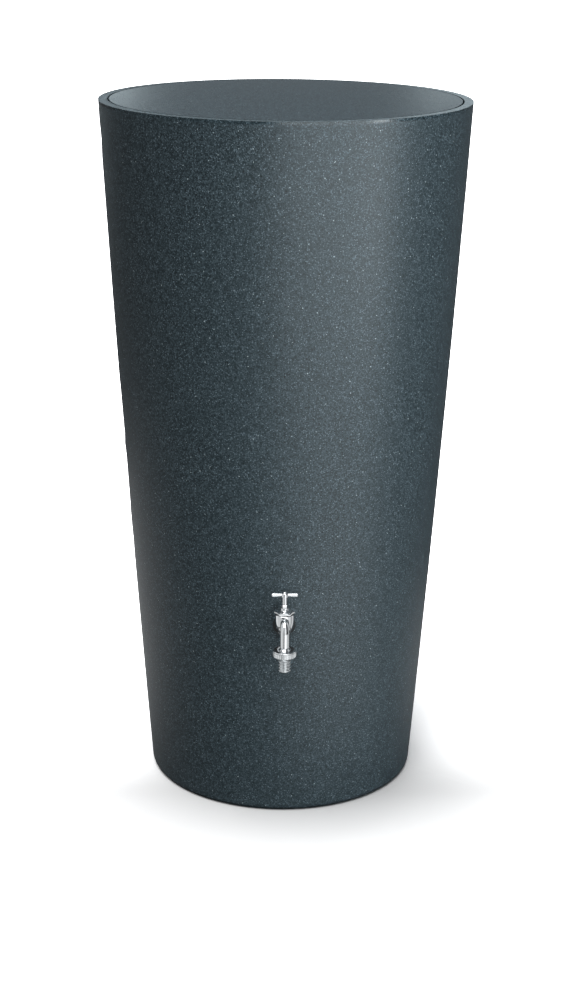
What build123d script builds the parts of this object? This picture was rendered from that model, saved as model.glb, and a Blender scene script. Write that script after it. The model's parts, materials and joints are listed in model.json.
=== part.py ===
"""Conical rain barrel with a flush lift-off lid, a screw-down bib tap and a rain inlet.

Millimetres. +Z is up and the origin is the centre of the foot, on the ground.
The tap faces -Y and the rain inlet is at the back, facing +Y.
Threads are plain cylinders at their major diameters.
"""

import os
from math import radians, tan

from build123d import *

# Barrel and lid: rotationally moulded polyethylene.
HEIGHT = 1000.0  # ground to the top of the rim
RIM_R = 260.6  # outer radius at the rim
BASE_R = 196.9  # outer radius at the ground, before the edge is rounded
BOW = 3.1  # how far the wall bulges beyond a straight cone at half height
WALL = 5.0
BASE_ROUND = 9.0
RIM_ROUND = 4.0
RIM_WIDTH = 12.6  # flat ring round the lid
LEDGE_DEPTH = 30.0  # rim down to the ledge that carries the lid
LEDGE_WIDTH = 23.0
FOOT_WIDTH = 34.0  # ring that stands on the ground
PUSH_UP = 8.0  # hollow under the middle of the base
LID_GAP = 2.5  # all round, between lid and rim
LID_DOME = 6.0  # rise of the lid's centre above the rim
LID_DRAFT = 1.5  # the skirt narrows by this much towards its foot
LID_REST = 0.2  # clearance between the skirt and the ledge

# Tap position: distances are forward of the pad on the wall, or above the chamber's top face.
TAP_AXIS_Z = 301.5  # height of the tail that screws into the wall
PAD_PROUD = 1.2  # the flat pad behind the tap stands this far proud of the wall
PAD_R = 17.0
TAIL_DROP = 25.5  # tail axis below the chamber's top face
CHAMBER_REACH = 24.0  # pad to the valve's axis
SPOUT_REACH = 24.0  # valve's axis to the outlet's axis
SEAL_T = 2.5

# Running and assembly clearances, on the radius.
THREAD_PLAY = 0.1
MOULD_PLAY = 0.05

# Valve train, heights above the chamber's top face.
GASKET_T = 1.0
SEAT_Z = -18.5
WASHER_T = 2.8
PLATE_T = 1.8
SPINDLE_FOOT_Z = SEAT_Z + 0.05 + WASHER_T + PLATE_T + 0.05
SPINDLE_THREAD_R = 5.1
STEM_R = 3.2
GLAND_TOP_Z = 13.2
HANDLE_Z = 27.3  # axis of the T bar
HANDLE_HALF = 18.0

# Outlet and hose union, heights above the chamber's top face.
COLLAR_Z = -44.4
COLLAR_T = 2.0
SPOUT_R = 6.1
SPOUT_BORE_R = 4.2
OUTLET_R = 13.2
NUT_R = 16.0
NUT_H = 10.2
TAIL_END_Z = -75.4
TAIL_BORE_R = 5.6

# Rain inlet at the back.
INLET_Z = 880.0
INLET_PAD_R = 32.0
INLET_PAD_PROUD = 1.6
INLET_PAD_T = 7.0
INLET_SHANK_R = 16.3
INLET_SPIGOT_R = 16.0
INLET_BORE_R = 13.0
INLET_SHANK_BORE_R = 13.8  # a little wider than the spigot's bore
INLET_FLANGE_R = 28.0


def wall_radius(z):
    """Outer radius of the barrel's wall at height z."""
    share = z / HEIGHT
    return BASE_R + (RIM_R - BASE_R) * share + 4 * BOW * share * (1 - share)


def inner_radius(z):
    return wall_radius(z) - WALL


def finish(part, name):
    """Names a finished piece and writes its STEP file."""
    part.label = name
    export_step(part, f"parts/{name}.step")


os.makedirs("parts", exist_ok=True)

PAD_Y = -(wall_radius(TAP_AXIS_Z) + PAD_PROUD)
CHAMBER_Z = TAP_AXIS_Z + TAIL_DROP
CHAMBER_Y = PAD_Y - CHAMBER_REACH
SPOUT_Y = CHAMBER_Y - SPOUT_REACH
INLET_PAD_Y = wall_radius(INLET_Z) + INLET_PAD_PROUD

# Faces whose local z points out of the wall, for round features drawn face on.
TAP_FACE = Plane(origin=(0, PAD_Y, TAP_AXIS_Z), x_dir=(1, 0, 0), z_dir=(0, -1, 0))
INLET_FACE = Plane(origin=(0, INLET_PAD_Y, INLET_Z), x_dir=(-1, 0, 0), z_dir=(0, 1, 0))

# Half-section planes: local x is the radius and local y runs along the turning axis.
TAP_SECTION = Plane(origin=TAP_FACE.origin, x_dir=(1, 0, 0), z_dir=(0, 0, -1))
TAP_AXIS = Axis(TAP_FACE.origin, (0, -1, 0))
INLET_SECTION = Plane(origin=INLET_FACE.origin, x_dir=(1, 0, 0), z_dir=(0, 0, 1))
INLET_AXIS = Axis(INLET_FACE.origin, (0, 1, 0))
VALVE_SECTION = Plane(origin=(0, CHAMBER_Y, CHAMBER_Z), x_dir=(1, 0, 0), z_dir=(0, -1, 0))
VALVE_AXIS = Axis(VALVE_SECTION.origin, (0, 0, 1))
OUTLET_SECTION = Plane(origin=(0, SPOUT_Y, CHAMBER_Z), x_dir=(1, 0, 0), z_dir=(0, -1, 0))
OUTLET_AXIS = Axis(OUTLET_SECTION.origin, (0, 0, 1))
# Level plane at the chamber's top face, for hexagons and square holes.
VALVE_LEVEL = Plane(origin=(0, CHAMBER_Y, CHAMBER_Z), x_dir=(1, 0, 0), z_dir=(0, 0, 1))


# ---------------------------------------------------------------- barrel shell
RECESS_R = RIM_R - RIM_WIDTH
LEDGE_Z = HEIGHT - LEDGE_DEPTH
MOUTH_R = RECESS_R - LEDGE_WIDTH
GUSSET_Z = LEDGE_Z - 28  # the ledge's underside slopes down to the wall here
FOOT_IN_R = BASE_R - BASE_ROUND - FOOT_WIDTH
STEP_RUN = 10.0  # slope between the foot ring and the raised middle

INSERT_R = 14.0
INSERT_FLANGE_R = 16.0
INSERT_LENGTH = 22.0
INSERT_BORE_R = 10.5
INSERT_FLANGES = (4.0, 12.0)  # depth of each anchoring flange's front
INSERT_FLANGE_T = 4.0
BOSS_R = 19.0

with BuildPart() as barrel_shell:
    with BuildSketch(Plane.XZ):
        with BuildLine():
            ThreePointArc((BASE_R, 0), (wall_radius(HEIGHT / 2), HEIGHT / 2), (RIM_R, HEIGHT))
            Polyline(
                (RIM_R, HEIGHT),
                (RECESS_R, HEIGHT),
                (RECESS_R, LEDGE_Z),
                (MOUTH_R, LEDGE_Z),
                (MOUTH_R, LEDGE_Z - WALL),
                (inner_radius(GUSSET_Z), GUSSET_Z),
            )
            ThreePointArc(
                (inner_radius(GUSSET_Z), GUSSET_Z),
                (inner_radius(HEIGHT / 2), HEIGHT / 2),
                (inner_radius(WALL), WALL),
            )
            Polyline(
                (inner_radius(WALL), WALL),
                (FOOT_IN_R + WALL / 2, WALL),
                (FOOT_IN_R - STEP_RUN + WALL / 2, PUSH_UP + WALL),
                (0, PUSH_UP + WALL),
                (0, PUSH_UP),
                (FOOT_IN_R - STEP_RUN, PUSH_UP),
                (FOOT_IN_R, 0),
                (BASE_R, 0),
            )
        section = make_face()
        corners = section.vertices()
        # Each rounded corner of the section: where it is, and its radius.
        for x, z, radius in (
            (BASE_R, 0, BASE_ROUND),
            (inner_radius(WALL), WALL, BASE_ROUND - WALL),
            (RIM_R, HEIGHT, RIM_ROUND),
            (RECESS_R, HEIGHT, 2.0),
            (RECESS_R, LEDGE_Z, 3.0),
            (MOUTH_R, LEDGE_Z, 2.0),
            (inner_radius(GUSSET_Z), GUSSET_Z, 10.0),
        ):
            fillet(corners.sort_by_distance((x, 0, z))[0], radius)
    revolve(axis=Axis.Z)
    # Flat pad outside and boss inside, moulded round the tap's brass insert.
    with BuildSketch(TAP_FACE):
        Circle(PAD_R)
    extrude(amount=-PAD_PROUD - WALL)
    with BuildSketch(TAP_FACE.offset(-INSERT_LENGTH)):
        Circle(BOSS_R)
    extrude(amount=INSERT_LENGTH - PAD_PROUD - WALL / 2)
    # The insert's cavity, with its two flanges.
    with BuildSketch(TAP_FACE):
        Circle(INSERT_R + MOULD_PLAY)
    extrude(amount=-INSERT_LENGTH, mode=Mode.SUBTRACT)
    for depth in INSERT_FLANGES:
        with BuildSketch(TAP_FACE.offset(MOULD_PLAY - depth)):
            Circle(INSERT_FLANGE_R + MOULD_PLAY)
        extrude(amount=-INSERT_FLANGE_T - 2 * MOULD_PLAY, mode=Mode.SUBTRACT)
    # Flat zone of even thickness for the rain inlet, and its hole.
    with BuildSketch(INLET_FACE):
        Circle(INLET_PAD_R)
    extrude(amount=-INLET_PAD_T)
    with BuildSketch(INLET_FACE.offset(-INLET_PAD_T)):
        Circle(INLET_PAD_R - 1)
    extrude(amount=-WALL * 2, mode=Mode.SUBTRACT)
    with BuildSketch(INLET_FACE):
        Circle(INLET_SHANK_R + 2 * THREAD_PLAY)
    extrude(amount=-INLET_PAD_T, mode=Mode.SUBTRACT)

finish(barrel_shell.part, "barrel_shell")


# ------------------------------------------------------------------------- lid
LID_R = RECESS_R - LID_GAP
SKIRT_FOOT_Z = LEDGE_Z + LID_REST

with BuildPart() as lid:
    with BuildSketch(Plane.XZ):
        with BuildLine():
            TangentArc((0, HEIGHT + LID_DOME), (LID_R, HEIGHT), tangent=(1, 0))
            Polyline(
                (LID_R, HEIGHT),
                (LID_R - LID_DRAFT, SKIRT_FOOT_Z),
                (LID_R - LID_DRAFT - WALL, SKIRT_FOOT_Z),
                (LID_R - WALL, HEIGHT - WALL),
            )
            TangentArc((0, HEIGHT - WALL + LID_DOME), (LID_R - WALL, HEIGHT - WALL), tangent=(1, 0))
            Line((0, HEIGHT - WALL + LID_DOME), (0, HEIGHT + LID_DOME))
        section = make_face()
        corners = section.vertices()
        for x, z, radius in (
            (LID_R, HEIGHT, 4.0),
            (LID_R - WALL, HEIGHT - WALL, 3.0),
            (LID_R - LID_DRAFT, SKIRT_FOOT_Z, 1.5),
            (LID_R - LID_DRAFT - WALL, SKIRT_FOOT_Z, 1.5),
        ):
            fillet(corners.sort_by_distance((x, 0, z))[0], radius)
    revolve(axis=Axis.Z)

finish(lid.part, "lid")


# ------------------------------------------------------ brass insert and seal
with BuildPart() as tap_insert:
    with BuildSketch(TAP_FACE):
        Circle(INSERT_R)
    extrude(amount=-INSERT_LENGTH)
    for depth in INSERT_FLANGES:
        with BuildSketch(TAP_FACE.offset(-depth)):
            Circle(INSERT_FLANGE_R)
        extrude(amount=-INSERT_FLANGE_T)
    with BuildSketch(TAP_FACE):
        Circle(INSERT_BORE_R)
    extrude(amount=-INSERT_LENGTH, mode=Mode.SUBTRACT)

finish(tap_insert.part, "tap_insert")

SEAL_R = 15.8

with BuildPart() as tap_seal:
    with BuildSketch(TAP_FACE):
        Circle(SEAL_R)
        Circle(INSERT_BORE_R + THREAD_PLAY, mode=Mode.SUBTRACT)
    extrude(amount=SEAL_T)
    fillet(tap_seal.edges().filter_by(GeomType.CIRCLE).group_by(SortBy.RADIUS)[-1], 0.6)

finish(tap_seal.part, "tap_seal")


# -------------------------------------------------------------------- tap body
TAIL_LENGTH = 18.0  # screwed into the wall
TAIL_R = INSERT_BORE_R - THREAD_PLAY
FLANGE_R = 11.6
FLANGE_T = 2.0
NECK_R = 8.5
WATERWAY_R = 4.5
CHAMBER_R = 13.8
CHAMBER_DEPTH = 35.0
CAP_BORE_R = 10.5  # takes the bonnet's thread
CAP_DEPTH = 5.0
CAVITY_R = 8.2
CAVITY_FLOOR_Z = SEAT_Z - 1
SEAT_R = 6.3
SUMP_Z = -30.0
SPOUT_TOP_Z = -8.6  # centre line of the spout's level run
SPOUT_BEND_R = 12.0

with BuildPart() as tap_body:
    # Tail, flange and neck, turned about the level axis.
    with BuildSketch(TAP_SECTION):
        with BuildLine():
            Polyline(
                (0, -TAIL_LENGTH),
                (TAIL_R - 1, -TAIL_LENGTH),
                (TAIL_R, -TAIL_LENGTH + 1),
                (TAIL_R, SEAL_T),
                (FLANGE_R, SEAL_T),
                (FLANGE_R, SEAL_T + FLANGE_T),
                (NECK_R, SEAL_T + FLANGE_T + 1.2),
                (NECK_R, CHAMBER_REACH),
                (0, CHAMBER_REACH),
                close=True,
            )
        section = make_face()
        flange_corner = (FLANGE_R, PAD_Y - SEAL_T - FLANGE_T, TAP_AXIS_Z)
        fillet(section.vertices().sort_by_distance(flange_corner)[0], 0.8)
    revolve(axis=TAP_AXIS)
    # Chamber: a cup that narrows to a rounded nose.
    with BuildSketch(VALVE_SECTION):
        with BuildLine():
            Polyline((0, 0), (CHAMBER_R - 0.6, 0), (CHAMBER_R, -0.6), (13.4, -9))
            ThreePointArc((13.4, -9), (11.0, -21.5), (5.2, -32.0))
            TangentArc((0, -CHAMBER_DEPTH), (5.2, -32.0), tangent=(1, 0))
            Line((0, -CHAMBER_DEPTH), (0, 0))
        make_face()
    revolve(axis=VALVE_AXIS)
    # Spout: out of the chamber's front, round a bend and straight down.
    with BuildLine():
        spout_path = FilletPolyline(
            (0, CHAMBER_Y, CHAMBER_Z + SPOUT_TOP_Z),
            (0, SPOUT_Y, CHAMBER_Z + SPOUT_TOP_Z),
            (0, SPOUT_Y, CHAMBER_Z + COLLAR_Z - COLLAR_T),
            radius=SPOUT_BEND_R,
        )
    with BuildSketch(Plane(origin=spout_path @ 0, z_dir=spout_path % 0)):
        Circle(SPOUT_R)
    sweep(path=spout_path)
    # Collar and outlet thread at the spout's end.
    with BuildSketch(OUTLET_SECTION):
        with BuildLine():
            Polyline(
                (0, COLLAR_Z + 2.4),
                (SPOUT_R, COLLAR_Z + 2.4),
                (SPOUT_R + 2.4, COLLAR_Z + 0.4),
                (NUT_R - 0.3, COLLAR_Z),
                (NUT_R - 0.3, COLLAR_Z - COLLAR_T),
                (OUTLET_R, COLLAR_Z - COLLAR_T),
                (OUTLET_R, COLLAR_Z - COLLAR_T - 4.8),
                (0, COLLAR_Z - COLLAR_T - 4.8),
                close=True,
            )
        make_face()
    revolve(axis=OUTLET_AXIS)
    rim = tap_body.edges().filter_by(GeomType.CIRCLE).filter_by(lambda e: abs(e.radius - NUT_R + 0.3) < 0.01)
    fillet(rim, 0.6)
    # Waterways: tail bore, chamber above and below the seat, spout and outlet cup.
    with BuildSketch(TAP_FACE.offset(-TAIL_LENGTH)):
        Circle(WATERWAY_R)
    extrude(amount=TAIL_LENGTH + CHAMBER_REACH, mode=Mode.SUBTRACT)
    with BuildSketch(VALVE_SECTION):
        with BuildLine():
            Polyline(
                (0, 0),
                (CAP_BORE_R, 0),
                (CAP_BORE_R, -CAP_DEPTH),
                (CAVITY_R, -CAP_DEPTH),
                (CAVITY_R, CAVITY_FLOOR_Z),
                (SEAT_R, CAVITY_FLOOR_Z),
                (SEAT_R, SEAT_Z),
                (WATERWAY_R, SEAT_Z),
                (WATERWAY_R, SUMP_Z),
                (0, SUMP_Z),
                close=True,
            )
        make_face()
    revolve(axis=VALVE_AXIS, mode=Mode.SUBTRACT)
    with BuildSketch(Plane(origin=spout_path @ 0, z_dir=spout_path % 0)):
        Circle(SPOUT_BORE_R)
    sweep(path=spout_path, mode=Mode.SUBTRACT)
    with BuildSketch(OUTLET_SECTION):
        with BuildLine():
            Polyline(
                (0, COLLAR_Z),
                (SPOUT_BORE_R, COLLAR_Z),
                (OUTLET_R - 3.6, COLLAR_Z - 4),
                (OUTLET_R - 3.6, COLLAR_Z - COLLAR_T - 4.8),
                (0, COLLAR_Z - COLLAR_T - 4.8),
                close=True,
            )
        make_face()
    revolve(axis=OUTLET_AXIS, mode=Mode.SUBTRACT)

finish(tap_body.part, "tap_body")


# ------------------------------------------------------------- bonnet and gland
BONNET_AF = 25.0
BONNET_TOP_Z = 4.0
BARREL_R = 7.0
BARREL_FOOT_Z = -7.5
BONNET_THREAD_Z = 3.4  # top of the spindle's threaded bore
PACKING_Z = 5.0
PACKING_T = 2.0
PACKING_R = 4.3
BONNET_NECK_R = 5.4
BONNET_NECK_Z = 8.6
GLAND_AF = 9.0

with BuildPart() as bonnet_gasket:
    with BuildSketch(VALVE_LEVEL):
        Circle(CHAMBER_R - 0.4)
        Circle(CAP_BORE_R + THREAD_PLAY, mode=Mode.SUBTRACT)
    extrude(amount=GASKET_T)

finish(bonnet_gasket.part, "bonnet_gasket")

with BuildPart() as bonnet:
    # Hexagon with its top corners turned off at 30 degrees.
    with BuildSketch(VALVE_LEVEL.offset(GASKET_T)):
        RegularPolygon(radius=BONNET_AF / 2, side_count=6, major_radius=False)
    extrude(amount=BONNET_TOP_Z - GASKET_T)
    with BuildSketch(VALVE_SECTION):
        with BuildLine():
            rise = 4 * tan(radians(30))
            Polyline(
                (0, GASKET_T),
                (BONNET_AF / 2 + 3.2, GASKET_T),
                (BONNET_AF / 2 + 3.2, BONNET_TOP_Z - rise),
                (BONNET_AF / 2 - 0.8, BONNET_TOP_Z),
                (0, BONNET_TOP_Z),
                close=True,
            )
        make_face()
    revolve(axis=VALVE_AXIS, mode=Mode.INTERSECT)
    # Thread and barrel below, neck above.
    with BuildSketch(VALVE_SECTION):
        with BuildLine():
            Polyline(
                (0, BARREL_FOOT_Z),
                (BARREL_R, BARREL_FOOT_Z),
                (BARREL_R, -4),
                (CAP_BORE_R - THREAD_PLAY, -4),
                (CAP_BORE_R - THREAD_PLAY, GASKET_T),
                (BONNET_AF / 2 - 3, BONNET_TOP_Z),
                (BONNET_NECK_R + 0.6, BONNET_TOP_Z + 1.6),
                (BONNET_NECK_R, BONNET_TOP_Z + 2.6),
                (BONNET_NECK_R, BONNET_NECK_Z),
                (0, BONNET_NECK_Z),
                close=True,
            )
        make_face()
    revolve(axis=VALVE_AXIS)
    # Bore: threaded part, stem hole and stuffing box.
    with BuildSketch(VALVE_SECTION):
        with BuildLine():
            Polyline(
                (0, BARREL_FOOT_Z),
                (SPINDLE_THREAD_R + THREAD_PLAY, BARREL_FOOT_Z),
                (SPINDLE_THREAD_R + THREAD_PLAY, BONNET_THREAD_Z),
                (STEM_R + THREAD_PLAY, BONNET_THREAD_Z),
                (STEM_R + THREAD_PLAY, PACKING_Z),
                (PACKING_R, PACKING_Z),
                (PACKING_R, BONNET_NECK_Z),
                (0, BONNET_NECK_Z),
                close=True,
            )
        make_face()
    revolve(axis=VALVE_AXIS, mode=Mode.SUBTRACT)

finish(bonnet.part, "bonnet")

with BuildPart() as gland_packing:
    with BuildSketch(VALVE_LEVEL.offset(PACKING_Z)):
        Circle(PACKING_R - MOULD_PLAY)
        Circle(STEM_R + MOULD_PLAY, mode=Mode.SUBTRACT)
    extrude(amount=PACKING_T)

finish(gland_packing.part, "gland_packing")

with BuildPart() as gland_nut:
    with BuildSketch(VALVE_LEVEL.offset(BONNET_NECK_Z + 0.2)):
        RegularPolygon(radius=GLAND_AF / 2, side_count=6, major_radius=False)
    extrude(amount=GLAND_TOP_Z - BONNET_NECK_Z - 0.2)
    chamfer(gland_nut.edges().group_by(Axis.Z)[-1], 0.5)
    with BuildSketch(VALVE_LEVEL.offset(PACKING_Z + PACKING_T)):
        Circle(PACKING_R - THREAD_PLAY)
    extrude(amount=BONNET_NECK_Z - PACKING_Z - PACKING_T + 0.2)
    with BuildSketch(VALVE_LEVEL.offset(PACKING_Z)):
        Circle(STEM_R + THREAD_PLAY)
    extrude(amount=GLAND_TOP_Z, mode=Mode.SUBTRACT)

finish(gland_nut.part, "gland_nut")


# --------------------------------------------------------- spindle and T handle
STEM_FOOT_Z = -1.3  # the screwed part's top: leaves room for the lift
SHOULDER_Z = 23.5
SQUARE_AF = 4.5
SQUARE_TOP_Z = 29.0
JUMPER_STEM_R = 2.0
SCREW_R = 1.5
HUB_R = 4.6
HUB_TOP_Z = 30.4

with BuildPart() as spindle:
    with BuildSketch(VALVE_SECTION):
        with BuildLine():
            Polyline(
                (0, SPINDLE_FOOT_Z),
                (SPINDLE_THREAD_R, SPINDLE_FOOT_Z),
                (SPINDLE_THREAD_R, STEM_FOOT_Z),
                (STEM_R, STEM_FOOT_Z),
                (STEM_R, SHOULDER_Z),
                (0, SHOULDER_Z),
                close=True,
            )
        make_face()
    revolve(axis=VALVE_AXIS)
    with BuildSketch(VALVE_LEVEL.offset(SHOULDER_Z)):
        Rectangle(SQUARE_AF, SQUARE_AF)
    extrude(amount=SQUARE_TOP_Z - SHOULDER_Z)
    with BuildSketch(VALVE_LEVEL.offset(SQUARE_TOP_Z)):
        Circle(SCREW_R)
    extrude(amount=-7.5, mode=Mode.SUBTRACT)
    with BuildSketch(VALVE_LEVEL.offset(SPINDLE_FOOT_Z)):
        Circle(JUMPER_STEM_R + THREAD_PLAY)
    extrude(amount=6.5, mode=Mode.SUBTRACT)

finish(spindle.part, "spindle")

with BuildPart() as tap_handle:
    with BuildSketch(VALVE_LEVEL.offset(SHOULDER_Z + 0.1)):
        Circle(HUB_R)
    extrude(amount=HUB_TOP_Z - SHOULDER_Z - 0.1)
    fillet(tap_handle.edges(), 1.4)
    # Each arm swells from the hub to its rounded end.
    with BuildSketch(VALVE_LEVEL.offset(HANDLE_Z)):
        with BuildLine():
            Polyline(
                (-HANDLE_HALF, 0),
                (-HANDLE_HALF, 2.6),
                (0, 1.9),
                (HANDLE_HALF, 2.6),
                (HANDLE_HALF, 0),
                close=True,
            )
        section = make_face()
        ends = section.vertices().group_by(Axis.Y)[-1]
        fillet(ends, 1.2)
    revolve(axis=Axis((0, CHAMBER_Y, CHAMBER_Z + HANDLE_Z), (1, 0, 0)))
    with BuildSketch(VALVE_LEVEL.offset(SHOULDER_Z)):
        Rectangle(SQUARE_AF + THREAD_PLAY, SQUARE_AF + THREAD_PLAY)
    extrude(amount=SQUARE_TOP_Z - SHOULDER_Z + 0.1, mode=Mode.SUBTRACT)
    with BuildSketch(VALVE_LEVEL.offset(SQUARE_TOP_Z)):
        Circle(SCREW_R + 0.1)
    extrude(amount=HUB_TOP_Z, mode=Mode.SUBTRACT)

finish(tap_handle.part, "tap_handle")

with BuildPart() as handle_screw:
    with BuildSketch(VALVE_LEVEL.offset(SHOULDER_Z - 1.5)):
        Circle(SCREW_R - MOULD_PLAY)
    extrude(amount=HUB_TOP_Z - SHOULDER_Z + 1.5)
    with BuildSketch(VALVE_SECTION):
        with BuildLine():
            Line((0, HUB_TOP_Z), (2.7, HUB_TOP_Z))
            ThreePointArc((2.7, HUB_TOP_Z), (1.9, HUB_TOP_Z + 1.15), (0, HUB_TOP_Z + 1.6))
            Line((0, HUB_TOP_Z + 1.6), (0, HUB_TOP_Z))
        make_face()
    revolve(axis=VALVE_AXIS)
    with BuildSketch(VALVE_LEVEL.offset(HUB_TOP_Z + 0.9)):
        Rectangle(8, 0.8)
    extrude(amount=2, mode=Mode.SUBTRACT)

finish(handle_screw.part, "handle_screw")


# ------------------------------------------------------------------ valve disc
WASHER_FOOT_Z = SEAT_Z + 0.05
PLATE_FOOT_Z = WASHER_FOOT_Z + WASHER_T
STUD_R = 1.5

with BuildPart() as valve_jumper:
    with BuildSketch(VALVE_SECTION):
        with BuildLine():
            Polyline(
                (0, WASHER_FOOT_Z - 1.9),
                (STUD_R, WASHER_FOOT_Z - 1.9),
                (STUD_R, PLATE_FOOT_Z),
                (6.8, PLATE_FOOT_Z),
                (6.8, PLATE_FOOT_Z + PLATE_T),
                (JUMPER_STEM_R, PLATE_FOOT_Z + PLATE_T),
                (JUMPER_STEM_R, PLATE_FOOT_Z + PLATE_T + 6),
                (0, PLATE_FOOT_Z + PLATE_T + 6),
                close=True,
            )
        make_face()
    revolve(axis=VALVE_AXIS)

finish(valve_jumper.part, "valve_jumper")

with BuildPart() as valve_washer:
    with BuildSketch(VALVE_LEVEL.offset(WASHER_FOOT_Z)):
        Circle(SEAT_R)
        Circle(STUD_R + MOULD_PLAY, mode=Mode.SUBTRACT)
    extrude(amount=WASHER_T)

finish(valve_washer.part, "valve_washer")

with BuildPart() as jumper_nut:
    with BuildSketch(VALVE_LEVEL.offset(WASHER_FOOT_Z - 1.7)):
        RegularPolygon(radius=2.75, side_count=6, major_radius=False)
        Circle(STUD_R + MOULD_PLAY, mode=Mode.SUBTRACT)
    extrude(amount=1.7)

finish(jumper_nut.part, "jumper_nut")


# ------------------------------------------------------------------ hose union
OUTLET_END_Z = COLLAR_Z - COLLAR_T - 4.8
UNION_GASKET_T = 1.5
TAIL_FLANGE_T = 1.8
TAIL_NECK_R = 8.4
NUT_TOP_Z = COLLAR_Z - COLLAR_T - 0.1
NUT_FOOT_Z = NUT_TOP_Z - NUT_H
SHOULDER_T = 2.2
GRIP_COUNT = 36
BARB_COUNT = 4
BARB_CREST_R = 8.6
BARB_ROOT_R = 7.2

with BuildPart() as union_gasket:
    with BuildSketch(Plane(origin=(0, SPOUT_Y, CHAMBER_Z + OUTLET_END_Z))):
        Circle(OUTLET_R - 0.6)
        Circle(TAIL_BORE_R + 0.4, mode=Mode.SUBTRACT)
    extrude(amount=-UNION_GASKET_T)

finish(union_gasket.part, "union_gasket")

with BuildPart() as union_nut:
    with BuildSketch(OUTLET_SECTION):
        with BuildLine():
            Polyline(
                (TAIL_NECK_R + 0.3, NUT_FOOT_Z),
                (NUT_R - 4, NUT_FOOT_Z),
                (NUT_R, NUT_FOOT_Z + 4.2),
                (NUT_R, NUT_TOP_Z),
                (OUTLET_R + THREAD_PLAY, NUT_TOP_Z),
                (OUTLET_R + THREAD_PLAY, NUT_FOOT_Z + SHOULDER_T),
                (TAIL_NECK_R + 0.3, NUT_FOOT_Z + SHOULDER_T),
                close=True,
            )
        section = make_face()
        rounded = (
            (NUT_R, CHAMBER_Z + NUT_FOOT_Z + 4.2, 2.5),
            (NUT_R - 4, CHAMBER_Z + NUT_FOOT_Z, 1.8),
            (NUT_R, CHAMBER_Z + NUT_TOP_Z, 0.6),
        )
        corners = section.vertices()
        for x, z, radius in rounded:
            fillet(corners.sort_by_distance((x, SPOUT_Y, z))[0], radius)
    revolve(axis=OUTLET_AXIS)
    # Finger grooves round the rim.
    with BuildSketch(Plane(origin=(0, SPOUT_Y, CHAMBER_Z + NUT_FOOT_Z))):
        with PolarLocations(NUT_R + 0.35, GRIP_COUNT):
            Circle(0.8)
    extrude(amount=NUT_H, mode=Mode.SUBTRACT)

finish(union_nut.part, "union_nut")

BARB_TOP_Z = NUT_FOOT_Z - 1.4
BARB_PITCH = (BARB_TOP_Z - TAIL_END_Z) / BARB_COUNT
TAIL_FLANGE_Z = OUTLET_END_Z - UNION_GASKET_T

with BuildPart() as hose_tail:
    with BuildSketch(OUTLET_SECTION):
        with BuildLine():
            points = [
                (TAIL_BORE_R, TAIL_FLANGE_Z),
                (OUTLET_R - 0.5, TAIL_FLANGE_Z),
                (OUTLET_R - 0.5, TAIL_FLANGE_Z - TAIL_FLANGE_T),
                (TAIL_NECK_R, TAIL_FLANGE_Z - TAIL_FLANGE_T),
                (TAIL_NECK_R, BARB_TOP_Z),
            ]
            # Each barb: in to the root, out to a narrow land, then a long slope down.
            for i in range(BARB_COUNT):
                top = BARB_TOP_Z - i * BARB_PITCH
                points += [
                    (BARB_ROOT_R, top - 0.4),
                    (BARB_ROOT_R, top - 0.25 * BARB_PITCH),
                    (BARB_CREST_R, top - 0.45 * BARB_PITCH),
                    (BARB_CREST_R, top - 0.65 * BARB_PITCH),
                    (BARB_ROOT_R + 0.3, top - BARB_PITCH),
                ]
            points.append((TAIL_BORE_R, TAIL_END_Z))
            Polyline(*points, close=True)
        make_face()
    revolve(axis=OUTLET_AXIS)

finish(hose_tail.part, "hose_tail")


# ------------------------------------------------------------------ rain inlet
INLET_SEAL_T = 2.5
INLET_FLANGE_T = 4.0
SPIGOT_END = 41.0
INLET_NUT_T = 8.0
INLET_NUT_AF = 44.0

with BuildPart() as inlet_seal:
    with BuildSketch(INLET_FACE):
        Circle(INLET_FLANGE_R - 0.5)
        Circle(INLET_SHANK_R + THREAD_PLAY, mode=Mode.SUBTRACT)
    extrude(amount=INLET_SEAL_T)
    fillet(inlet_seal.edges().filter_by(GeomType.CIRCLE).group_by(SortBy.RADIUS)[-1], 0.6)

finish(inlet_seal.part, "inlet_seal")

with BuildPart() as inlet_connector:
    flange_out = INLET_SEAL_T + INLET_FLANGE_T
    with BuildSketch(INLET_SECTION):
        with BuildLine():
            Polyline(
                (INLET_BORE_R, 1),
                (INLET_SHANK_BORE_R, 0),
                (INLET_SHANK_BORE_R, -24),
                (INLET_SHANK_R - 1, -24),
                (INLET_SHANK_R, -23),
                (INLET_SHANK_R, INLET_SEAL_T),
                (INLET_FLANGE_R, INLET_SEAL_T),
                (INLET_FLANGE_R, flange_out),
                (INLET_SPIGOT_R + 2, flange_out),
                (INLET_SPIGOT_R, flange_out + 2),
                (INLET_SPIGOT_R, SPIGOT_END - 2.5),
                (INLET_SPIGOT_R - 1.2, SPIGOT_END),
                (INLET_BORE_R, SPIGOT_END),
                close=True,
            )
        section = make_face()
        rim_corner = (INLET_FLANGE_R, INLET_PAD_Y + flange_out, INLET_Z)
        fillet(section.vertices().sort_by_distance(rim_corner)[0], 1.2)
    revolve(axis=INLET_AXIS)
    # Grip notches round the flange.
    with BuildSketch(INLET_FACE.offset(INLET_SEAL_T)):
        with PolarLocations(INLET_FLANGE_R + 0.6, 12):
            Circle(2.2)
    extrude(amount=INLET_FLANGE_T, mode=Mode.SUBTRACT)

finish(inlet_connector.part, "inlet_connector")

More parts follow.
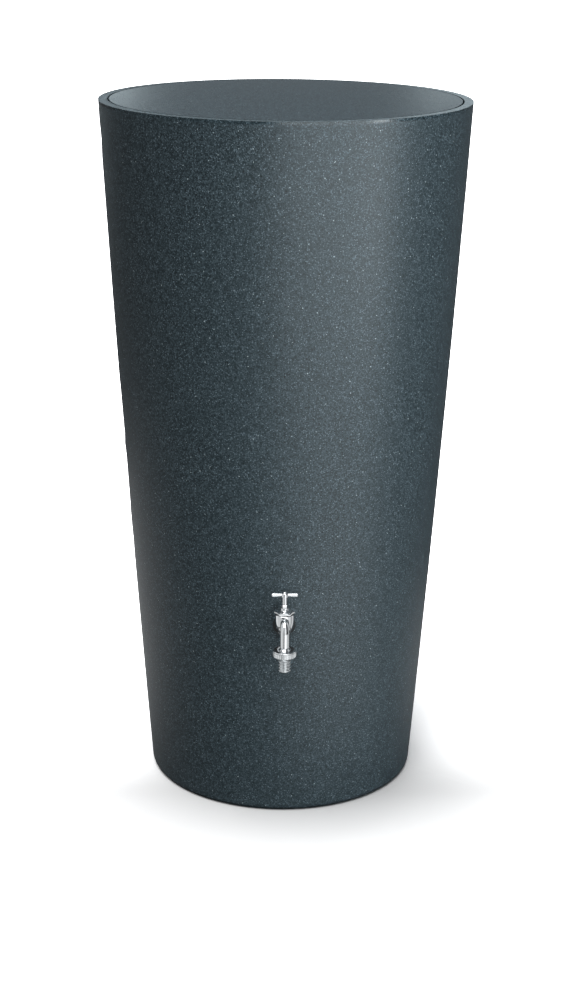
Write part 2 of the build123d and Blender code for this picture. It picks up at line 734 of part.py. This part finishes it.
with BuildPart() as inlet_nut:
    with BuildSketch(INLET_FACE.offset(-INLET_PAD_T)):
        RegularPolygon(radius=INLET_NUT_AF / 2, side_count=6, major_radius=False)
    extrude(amount=-INLET_NUT_T)
    chamfer(inlet_nut.edges().group_by(Axis.Y)[0], 0.8)
    with BuildSketch(INLET_FACE.offset(-INLET_PAD_T)):
        Circle(INLET_SHANK_R + THREAD_PLAY)
    extrude(amount=-INLET_NUT_T, mode=Mode.SUBTRACT)

finish(inlet_nut.part, "inlet_nut")
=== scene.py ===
# %% [markdown]
# # A rain barrel, from its CAD frame to a finished picture
# The barrel is a tapered polyethylene tank, rotationally moulded, with a flush lid and a chrome garden tap.
# The CAD model already has every piece in its place and at its real size, in metres.
# This lesson gives each piece its real surface, then sets up a small studio round it.

# %% Load the frame
import json
import math

import bmesh
import bpy
from mathutils import Matrix, Vector


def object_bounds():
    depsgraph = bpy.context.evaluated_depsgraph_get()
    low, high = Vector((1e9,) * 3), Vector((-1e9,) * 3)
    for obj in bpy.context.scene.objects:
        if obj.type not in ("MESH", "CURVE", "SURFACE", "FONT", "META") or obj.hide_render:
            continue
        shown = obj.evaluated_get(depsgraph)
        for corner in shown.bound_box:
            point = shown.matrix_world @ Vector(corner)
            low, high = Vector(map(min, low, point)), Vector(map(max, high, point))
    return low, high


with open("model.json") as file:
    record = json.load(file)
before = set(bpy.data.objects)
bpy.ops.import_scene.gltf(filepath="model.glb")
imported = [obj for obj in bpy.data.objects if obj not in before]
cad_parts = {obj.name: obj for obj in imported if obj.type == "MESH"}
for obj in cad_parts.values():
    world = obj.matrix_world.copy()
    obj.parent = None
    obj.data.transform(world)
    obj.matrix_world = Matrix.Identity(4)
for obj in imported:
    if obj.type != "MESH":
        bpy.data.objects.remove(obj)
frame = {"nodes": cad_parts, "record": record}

CAD_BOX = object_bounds()
MM = 0.001

low, high = (Vector(corner) for corner in CAD_BOX)
print("pieces:", len(frame["nodes"]), "box in metres:", [round(v, 4) for v in high - low])

# %% [markdown]
# ## Two helpers for materials
# A colour is written as the hex value that a paint chart would give, which is sRGB.
# Shaders work in linear light, so one function turns it over.
# A second function adds a node, sets it up and joins its sockets.
# Writing it once keeps each material short enough to read as a recipe.


# %% Helpers
def colour(chart):
    """Linear RGBA from an sRGB hex value such as "#4c575c"."""
    channels = [int(chart[i : i + 2], 16) / 255 for i in (1, 3, 5)]
    linear = [c / 12.92 if c <= 0.04045 else ((c + 0.055) / 1.055) ** 2.4 for c in channels]
    return (*linear, 1.0)


def add(tree, kind, sockets=None, **settings):
    """Adds one node; each socket gets a value, or a link from another node's output."""
    node = tree.nodes.new(kind)
    for name, value in settings.items():
        setattr(node, name, value)
    for name, value in (sockets or {}).items():
        if isinstance(value, bpy.types.NodeSocket):
            tree.links.new(value, node.inputs[name])
        else:
            node.inputs[name].default_value = value
    return node


def new_material(name):
    """A node material with nothing but its output."""
    material = bpy.data.materials.new(name)
    material.use_nodes = True
    material.node_tree.nodes.clear()
    add(material.node_tree, "ShaderNodeOutputMaterial")
    return material


def surface(material, sockets):
    """Gives the material its Principled shader and joins it to the output."""
    tree = material.node_tree
    shader = add(tree, "ShaderNodeBsdfPrincipled", sockets)
    tree.links.new(shader.outputs["BSDF"], tree.nodes["Material Output"].inputs["Surface"])


print("mid grey in linear light:", [round(c, 3) for c in colour("#808080")[:3]])

# %% [markdown]
# ## Granite-effect polyethylene, rotationally moulded
# The powder that is melted in the mould is a mix: dark grey-green grains, and a few pale and black ones.
# They stay as separate flecks, about a millimetre across, all through the wall.
# A texture picture would need the barrel unwrapped and would show a seam.
# Cells in space need neither, so each kind of fleck is a Voronoi pattern whose cells are cut down to dots.
# The skin was cast against a blasted steel mould, so it is satin: a fine orange peel, with slow ripples
# where the wall shrank.


# %% Granite plastic
POLISHED = 0.17


def flecks(tree, place, spacing, size, share):
    """A mask of round flecks: spacing and size in metres, share is the part of cells that hold one."""
    cells = add(tree, "ShaderNodeTexVoronoi", {"Vector": place, "Scale": 1 / spacing})
    chance = add(tree, "ShaderNodeSeparateColor", {"Color": cells.outputs["Color"]})
    kept = add(tree, "ShaderNodeMath", {0: chance.outputs["Red"], 1: share}, operation="LESS_THAN")
    radius = size / spacing / 2
    grown = add(
        tree,
        "ShaderNodeMapRange",
        {
            "Value": cells.outputs["Distance"],
            "From Min": radius * 1.25,
            "From Max": radius * 0.75,
        },
        interpolation_type="SMOOTHSTEP",
    )
    mask = add(tree, "ShaderNodeMath", {0: grown.outputs["Result"], 1: kept.outputs[0]}, operation="MULTIPLY")
    return mask.outputs[0]


def granite_plastic(name, ground, shade, pale, bright, roughness, peel_mm, edge_height=9.0):
    """Speckled polyethylene: four colours of powder, how deep its orange peel is, and where hands polish it."""
    material = new_material(name)
    tree = material.node_tree
    exact = add(tree, "ShaderNodeTexCoord").outputs["Object"]
    # Grains smear as they melt, so the pattern is pushed about by up to 0.5 mm.
    smear = add(tree, "ShaderNodeTexNoise", {"Vector": exact, "Scale": 1 / (1.6 * MM), "Detail": 1.0})
    centred = add(
        tree, "ShaderNodeVectorMath", {0: smear.outputs["Color"], 1: (0.5, 0.5, 0.5)}, operation="SUBTRACT"
    )
    pushed = add(
        tree,
        "ShaderNodeVectorMath",
        {0: centred.outputs["Vector"], 1: (2.0 * MM, 2.0 * MM, 2.0 * MM), 2: exact},
        operation="MULTIPLY_ADD",
    )
    place = pushed.outputs["Vector"]
    # Powder grains melt into cells of 1.4 mm; the square makes dark grains commoner than light ones.
    grains = add(tree, "ShaderNodeTexVoronoi", {"Vector": place, "Scale": 1 / (1.4 * MM)})
    tone = add(tree, "ShaderNodeSeparateColor", {"Color": grains.outputs["Color"]})
    rarer = add(tree, "ShaderNodeMath", {0: tone.outputs["Green"], 1: 2.0}, operation="POWER")
    mixed = add(
        tree,
        "ShaderNodeMix",
        {"Factor": rarer.outputs[0], "A": colour(shade), "B": colour(ground)},
        data_type="RGBA",
    )
    base = mixed.outputs["Result"]
    # Pale flecks are common, bright and black ones are rare.
    for chart, spacing, size, share in (
        (pale, 2.1 * MM, 1.3 * MM, 0.33),
        (bright, 6.5 * MM, 1.2 * MM, 0.35),
        ("#0a0d0f", 3.6 * MM, 1.6 * MM, 0.45),
    ):
        mask = flecks(tree, place, spacing, size, share)
        layer = add(tree, "ShaderNodeMix", {"Factor": mask, "A": base, "B": colour(chart)}, data_type="RGBA")
        base = layer.outputs["Result"]
    # Orange peel of about 2.5 mm, over ripples of about 140 mm.
    peel = add(tree, "ShaderNodeTexNoise", {"Vector": exact, "Scale": 1 / (2.5 * MM), "Detail": 3.0})
    ripple = add(tree, "ShaderNodeTexNoise", {"Vector": exact, "Scale": 1 / (140 * MM), "Detail": 1.0})
    slow = add(
        tree,
        "ShaderNodeBump",
        {"Height": ripple.outputs["Fac"], "Strength": 1.0, "Distance": 0.8 * MM},
    )
    fine = add(
        tree,
        "ShaderNodeBump",
        {
            "Height": peel.outputs["Fac"],
            "Strength": 1.0,
            "Distance": peel_mm * MM,
            "Normal": slow.outputs["Normal"],
        },
    )
    rough = add(
        tree,
        "ShaderNodeMapRange",
        {"Value": tone.outputs["Green"], "To Min": roughness - 0.07, "To Max": roughness + 0.07},
    )
    # The rim's rounded edge is handled, so it is polished; the flat ring just above it is not.
    height = add(tree, "ShaderNodeSeparateXYZ", {"Vector": exact}).outputs["Z"]
    above = add(
        tree,
        "ShaderNodeMapRange",
        {"Value": height, "From Min": edge_height - 4 * MM, "From Max": edge_height},
        interpolation_type="SMOOTHSTEP",
    )
    below = add(
        tree,
        "ShaderNodeMapRange",
        {"Value": height, "From Min": edge_height + 1.9 * MM, "From Max": edge_height + 1.4 * MM},
        interpolation_type="SMOOTHSTEP",
    )
    handled = add(
        tree, "ShaderNodeMath", {0: above.outputs["Result"], 1: below.outputs["Result"]}, operation="MULTIPLY"
    )
    gloss = add(
        tree,
        "ShaderNodeMix",
        {"Factor": handled.outputs[0], "A": rough.outputs["Result"], "B": POLISHED},
        data_type="FLOAT",
    )
    surface(
        material,
        {
            "Base Color": base,
            "Roughness": gloss.outputs["Result"],
            "IOR": 1.51,
            "Normal": fine.outputs["Normal"],
        },
    )
    return material


BARREL_PLASTIC = granite_plastic(
    "granite polyethylene wall", "#435056", "#1b2529", "#64727a", "#a9b6ba", 0.45, 0.13, edge_height=0.998
)
# The lid is the wall's granite polyethylene with its ground and shade painted lighter, a painted light on its
# upturned top.
LID_PLASTIC_PAINTED_LIGHTER = granite_plastic("granite polyethylene lid painted lighter", "#4e6068", "#2a3840", "#66797f", "#9aabb1", 0.34, 0.16)
print("wall and lid:", BARREL_PLASTIC.name, "/", LID_PLASTIC_PAINTED_LIGHTER.name)

# %% [markdown]
# ## Chrome plate, bright and satin
# The tap is a brass casting, polished and then plated with nickel and chromium.
# Bright chrome is a metal with almost no roughness; what the eye reads as chrome is the room that it mirrors.
# The union nut and the hose tail are plated over a tumbled surface, which is a soft grey satin.


# %% Metals
def plated_metal(name, tint, roughness, ripple_mm, grain_mm=0.0):
    """A metal plate over a casting: ripple_mm is how wavy the polish left it."""
    material = new_material(name)
    tree = material.node_tree
    place = add(tree, "ShaderNodeTexCoord").outputs["Object"]
    wave = add(tree, "ShaderNodeTexNoise", {"Vector": place, "Scale": 1 / (10 * MM), "Detail": 1.0})
    bump = add(
        tree,
        "ShaderNodeBump",
        {"Height": wave.outputs["Fac"], "Strength": 1.0, "Distance": ripple_mm * MM},
    )
    normal = bump.outputs["Normal"]
    if grain_mm:
        grain = add(tree, "ShaderNodeTexNoise", {"Vector": place, "Scale": 1 / (0.5 * MM), "Detail": 2.0})
        blasted = add(
            tree,
            "ShaderNodeBump",
            {"Height": grain.outputs["Fac"], "Strength": 1.0, "Distance": grain_mm * MM, "Normal": normal},
        )
        normal = blasted.outputs["Normal"]
    haze = add(tree, "ShaderNodeTexNoise", {"Vector": place, "Scale": 1 / (14 * MM), "Detail": 3.0})
    rough = add(
        tree,
        "ShaderNodeMapRange",
        {"Value": haze.outputs["Fac"], "To Min": roughness * 0.7, "To Max": roughness * 1.3},
    )
    surface(
        material,
        {
            "Base Color": colour(tint),
            "Metallic": 1.0,
            "Roughness": rough.outputs["Result"],
            "Normal": normal,
        },
    )
    return material


BRIGHT_CHROME = plated_metal("bright chrome plate on brass", "#cbced0", 0.08, 0.03)
SATIN_CHROME = plated_metal("satin chrome plate on brass", "#c4c8ca", 0.28, 0.03, 0.02)
TURNED_BRASS = plated_metal("turned brass", "#c9a566", 0.25, 0.02)

# %% [markdown]
# ## Rubber and black plastic
# The washers are black EPDM rubber, moulded: dull, with a faint bloom.
# The rain inlet is injection-moulded polypropylene: black, a little glossier, with a fine spark-eroded grain.


# %% Rubber and plastic
def moulded(name, dark, light, roughness, grain_mm, height_mm, index):
    """A moulded black material with a fine even grain."""
    material = new_material(name)
    tree = material.node_tree
    place = add(tree, "ShaderNodeTexCoord").outputs["Object"]
    grain = add(tree, "ShaderNodeTexNoise", {"Vector": place, "Scale": 1 / (grain_mm * MM), "Detail": 3.0})
    bloom = add(tree, "ShaderNodeTexNoise", {"Vector": place, "Scale": 1 / (18 * MM), "Detail": 4.0})
    base = add(
        tree,
        "ShaderNodeMix",
        {"Factor": bloom.outputs["Fac"], "A": colour(dark), "B": colour(light)},
        data_type="RGBA",
    )
    rough = add(
        tree,
        "ShaderNodeMapRange",
        {"Value": bloom.outputs["Fac"], "To Min": roughness - 0.08, "To Max": roughness + 0.08},
    )
    bump = add(
        tree,
        "ShaderNodeBump",
        {"Height": grain.outputs["Fac"], "Strength": 1.0, "Distance": height_mm * MM},
    )
    surface(
        material,
        {
            "Base Color": base.outputs["Result"],
            "Roughness": rough.outputs["Result"],
            "IOR": index,
            "Normal": bump.outputs["Normal"],
        },
    )
    return material


RUBBER = moulded("moulded EPDM rubber", "#111213", "#222425", 0.72, 0.8, 0.03, 1.52)
BLACK_PLASTIC = moulded("moulded polypropylene", "#151617", "#1e2021", 0.42, 0.6, 0.02, 1.49)

# %% [markdown]
# ## Dressing the CAD pieces
# Each piece keeps its CAD mesh, which is exact, and takes the finish of its slot in the record.
# The table below is that list of slots.

# %% Dress every piece
FINISHES = {
    "barrel_plastic": BARREL_PLASTIC,
    "lid_plastic": LID_PLASTIC_PAINTED_LIGHTER,
    "tap_chrome": BRIGHT_CHROME,
    "satin_chrome": SATIN_CHROME,
    "valve_brass": TURNED_BRASS,
    "black_rubber": RUBBER,
    "black_plastic": BLACK_PLASTIC,
}
slots = {part["node"]: part["material_slot"] for part in frame["record"]["subparts"]}
for node, piece in frame["nodes"].items():
    for holder in piece.material_slots:
        holder.material = FINISHES[slots[node]]
print("dressed:", len(frame["nodes"]))

# %% [markdown]
# ## The studio
# A white floor runs out of sight, and wide soft lights stand round the barrel.
# A dark satin barrel on a white floor would mirror the floor and turn grey.
# A photographer puts black cloth just out of view; here the floor simply reflects less to the barrel than it
# shows to the camera.


# %% Floor
BLACK_CLOTH = 0.07


def studio_floor():
    mesh = bpy.data.meshes.new("studio_floor")
    build = bmesh.new()
    bmesh.ops.create_grid(build, x_segments=1, y_segments=1, size=60.0)
    build.to_mesh(mesh)
    build.free()
    floor = bpy.data.objects.new("studio_floor", mesh)
    bpy.context.scene.collection.objects.link(floor)
    material = new_material("white seamless paper")
    tree = material.node_tree
    seen = add(tree, "ShaderNodeLightPath").outputs["Is Camera Ray"]
    place = add(tree, "ShaderNodeTexCoord").outputs["Object"]
    # The cloth leaves three patches of paper bare: two light the edges from behind, one the front's right half.
    cloth = BLACK_CLOTH
    for middle, inner, outer, glow in (
        ((-0.65, 0.56, 0.0), 0.30, 0.95, 0.55),
        ((0.45, 0.26, 0.0), 0.10, 0.48, 0.45),
        ((0.52, -0.74, 0.0), 0.12, 0.75, 0.95),
    ):
        reach = add(tree, "ShaderNodeVectorMath", {0: place, 1: middle}, operation="DISTANCE")
        patch = add(
            tree,
            "ShaderNodeMapRange",
            {"Value": reach.outputs["Value"], "From Min": inner, "From Max": outer, "To Min": glow, "To Max": 0.0},
            interpolation_type="SMOOTHSTEP",
        )
        cloth = add(tree, "ShaderNodeMath", {0: cloth, 1: patch.outputs["Result"]}, operation="ADD").outputs[0]
    # The paper is painted a little darker round the foot, a painted contact shadow that keeps the shadow's depth.
    away = add(tree, "ShaderNodeVectorMath", {0: place, 1: (0.02, 0.0, 0.0)}, operation="DISTANCE").outputs["Value"]
    painted_foot_shadow = add(
        tree,
        "ShaderNodeMapRange",
        {"Value": away, "From Min": 0.19, "From Max": 0.36, "To Min": 0.68, "To Max": 1.2},
    ).outputs["Result"]
    # Behind the barrel the paper is painted brighter, a painted light that hides the long shadow cast there.
    depth = add(tree, "ShaderNodeSeparateXYZ", {"Vector": place}).outputs["Y"]
    painted_light_behind = add(
        tree,
        "ShaderNodeMapRange",
        {"Value": depth, "From Min": -0.15, "From Max": 0.10, "To Min": 0.93, "To Max": 2.5},
        interpolation_type="SMOOTHSTEP",
    ).outputs["Result"]
    shown = add(tree, "ShaderNodeMath", {0: painted_foot_shadow, 1: painted_light_behind}, operation="MULTIPLY").outputs[0]
    tone = add(tree, "ShaderNodeMix", {"Factor": seen, "A": cloth, "B": shown}, data_type="FLOAT")
    grey = tone.outputs["Result"]
    paper = add(tree, "ShaderNodeCombineColor", {"Red": grey, "Green": grey, "Blue": grey})
    surface(material, {"Base Color": paper.outputs["Color"], "Roughness": 1.0, "Specular IOR Level": 0.0})
    mesh.materials.append(material)
    return floor


studio_floor()


# %% Lights
def softbox(name, place, aim, width, height, power, tint=(1.0, 1.0, 1.0)):
    """A rectangular softbox that points at aim."""
    lamp = bpy.data.lights.new(name, "AREA")
    lamp.shape = "RECTANGLE"
    lamp.size = width
    lamp.size_y = height
    lamp.energy = power
    lamp.color = tint
    box = bpy.data.objects.new(name, lamp)
    direction = Vector(aim) - Vector(place)
    box.matrix_world = Matrix.Translation(place) @ direction.to_track_quat("-Z", "Y").to_matrix().to_4x4()
    box.visible_camera = False
    bpy.context.scene.collection.objects.link(box)
    return box


BARREL_MIDDLE = (0.0, 0.0, 0.55)
DAYLIGHT = (0.90, 0.97, 1.0)
NORTH_LIGHT = (0.82, 0.95, 1.0)
key = softbox("key_softbox", (0.95, -1.72, 0.82), BARREL_MIDDLE, 2.8, 1.7, 41, DAYLIGHT)
fill = softbox("side_softbox", (1.60, -1.15, 0.50), (0.0, -0.25, 0.40), 0.3, 0.3, 2.6, DAYLIGHT)
back_left = softbox("back_left_softbox", (-1.7, 3.2, 1.75), (0.0, 0.0, 1.0), 2.0, 1.8, 50, NORTH_LIGHT)
back_right = softbox("back_right_softbox", (1.2, 3.3, 1.75), (0.0, 0.0, 1.0), 1.6, 1.8, 14, NORTH_LIGHT)
left_card = softbox("left_lid_card", (-0.82, 3.2, 1.45), (0.0, 0.0, 1.0), 0.8, 0.7, 2.5, NORTH_LIGHT)
right_card = softbox("right_lid_card", (0.87, 3.2, 1.45), (0.0, 0.0, 1.0), 0.8, 0.7, 1.4, NORTH_LIGHT)
strip = softbox("top_softbox", (0.45, -0.62, 2.5), (0.1, -0.2, 1.0), 0.9, 0.35, 34, DAYLIGHT)

overhead = bpy.data.lights.new("overhead_silk", "SUN")
overhead.angle = math.radians(46)
overhead.energy = 3.0
silk = bpy.data.objects.new("overhead_silk", overhead)
silk.rotation_euler = Vector((0.15, 0.36, -1.0)).to_track_quat("-Z", "Y").to_euler()
bpy.context.scene.collection.objects.link(silk)

# %% [markdown]
# Chrome shows nothing but what stands round it, so three reflector boards stand close to the tap.
# Light linking keeps them off everything else: the boards shine on the plated pieces alone.
# The dark gaps between the boards draw the dark lines down the spout.
# A board reaches down to the floor, because a tap seen from above mirrors what is low in front of it.

# %% Boards for the chrome
TAP_MIDDLE = (0.0, -0.25, 0.31)


def receivers(name, members):
    """A collection of the pieces that a lamp may light."""
    group = bpy.data.collections.new(name)
    for piece in members:
        group.objects.link(piece)
    return group


plated = receivers("plated_pieces", [p for n, p in frame["nodes"].items() if slots[n] in ("tap_chrome", "satin_chrome")])
matt = receivers("matt_pieces", [p for n, p in frame["nodes"].items() if n != "lid" and p.name not in plated.objects])
lid_only = receivers("lid_only", [frame["nodes"]["lid"]])
rim_only = receivers("rim_only", [frame["nodes"]["barrel_shell"]])
for lamp, group in (
    (key, matt),
    (fill, matt),
    (back_left, matt),
    (back_right, matt),
    (left_card, lid_only),
    (right_card, lid_only),
    (strip, rim_only),
):
    lamp.light_linking.receiver_collection = group

BOARD_REACH = 0.35
BOARD_HEIGHT = 0.80
for name, first, last, glow in (
    ("left_board", -117, -30, 0.78),
    ("middle_board", -8, 36, 1.20),
    ("right_board", 95, 145, 0.66),
):
    bearing = math.radians((first + last) / 2)
    width = 2 * BOARD_REACH * math.tan(math.radians(last - first) / 2)
    spot = (BOARD_REACH * math.sin(bearing), TAP_MIDDLE[1] - BOARD_REACH * math.cos(bearing), BOARD_HEIGHT / 2 + 0.01)
    aim = (0.0, TAP_MIDDLE[1], spot[2])
    board = softbox(name, spot, aim, width, BOARD_HEIGHT, glow * math.pi * width * BOARD_HEIGHT)
    board.light_linking.receiver_collection = plated
under = softbox("floor_board", (0.0, -0.44, 0.01), (0.0, -0.44, 1.0), 0.60, 0.44, 0.85 * math.pi * 0.60 * 0.44)
under.light_linking.receiver_collection = plated

world = bpy.data.worlds.new("studio")
bpy.context.scene.world = world
world.use_nodes = True
world.node_tree.nodes.clear()
tree = world.node_tree
seen = add(tree, "ShaderNodeLightPath").outputs["Is Camera Ray"]
sky = add(
    tree,
    "ShaderNodeMix",
    {"Factor": seen, "A": (0.18, 0.187, 0.195, 1), "B": (1.0, 1.0, 1.0, 1)},
    data_type="RGBA",
)
background = add(tree, "ShaderNodeBackground", {"Color": sky.outputs["Result"], "Strength": 1.0})
outlet = add(tree, "ShaderNodeOutputWorld", {"Surface": background.outputs["Background"]})

scene = bpy.context.scene
scene.view_settings.view_transform = "Standard"
scene.view_settings.look = "None"

# %% [markdown]
# ## The camera
# The camera stands a little above the rim, 2.7 m in front, and looks down by 18 degrees.
# A lens of about 70 mm keeps the barrel's taper natural.
# It stands 4 cm to the left of the tap's own plane, so the tap is seen almost, but not quite, from dead ahead.

# %% Camera
CAMERA_DISTANCE = 2.717
CAMERA_HEIGHT = 1.3057
CAMERA_SWING = math.radians(-0.94)
CAMERA_PITCH = math.radians(18.215)
CAMERA_YAW = math.radians(0.213) - CAMERA_SWING
CAMERA_ROLL = math.radians(0.537)

place = Vector(
    (CAMERA_DISTANCE * math.sin(CAMERA_SWING), -CAMERA_DISTANCE * math.cos(CAMERA_SWING), CAMERA_HEIGHT)
)
ahead = Vector(
    (
        math.sin(CAMERA_YAW) * math.cos(CAMERA_PITCH),
        math.cos(CAMERA_YAW) * math.cos(CAMERA_PITCH),
        -math.sin(CAMERA_PITCH),
    )
)
right = ahead.cross(Vector((0, 0, 1))).normalized()
up = right.cross(ahead)
tilted_right = math.cos(CAMERA_ROLL) * right + math.sin(CAMERA_ROLL) * up
tilted_up = math.cos(CAMERA_ROLL) * up - math.sin(CAMERA_ROLL) * right

lens = bpy.data.cameras.new("studio_camera")
lens.sensor_width = 36.0
lens.lens = 69.25
lens.clip_end = 200.0
camera = bpy.data.objects.new("studio_camera", lens)
camera.matrix_world = Matrix.Translation(place) @ Matrix((tilted_right, tilted_up, -ahead)).transposed().to_4x4()
scene.collection.objects.link(camera)
scene.camera = camera
print("camera at", [round(v, 3) for v in place])
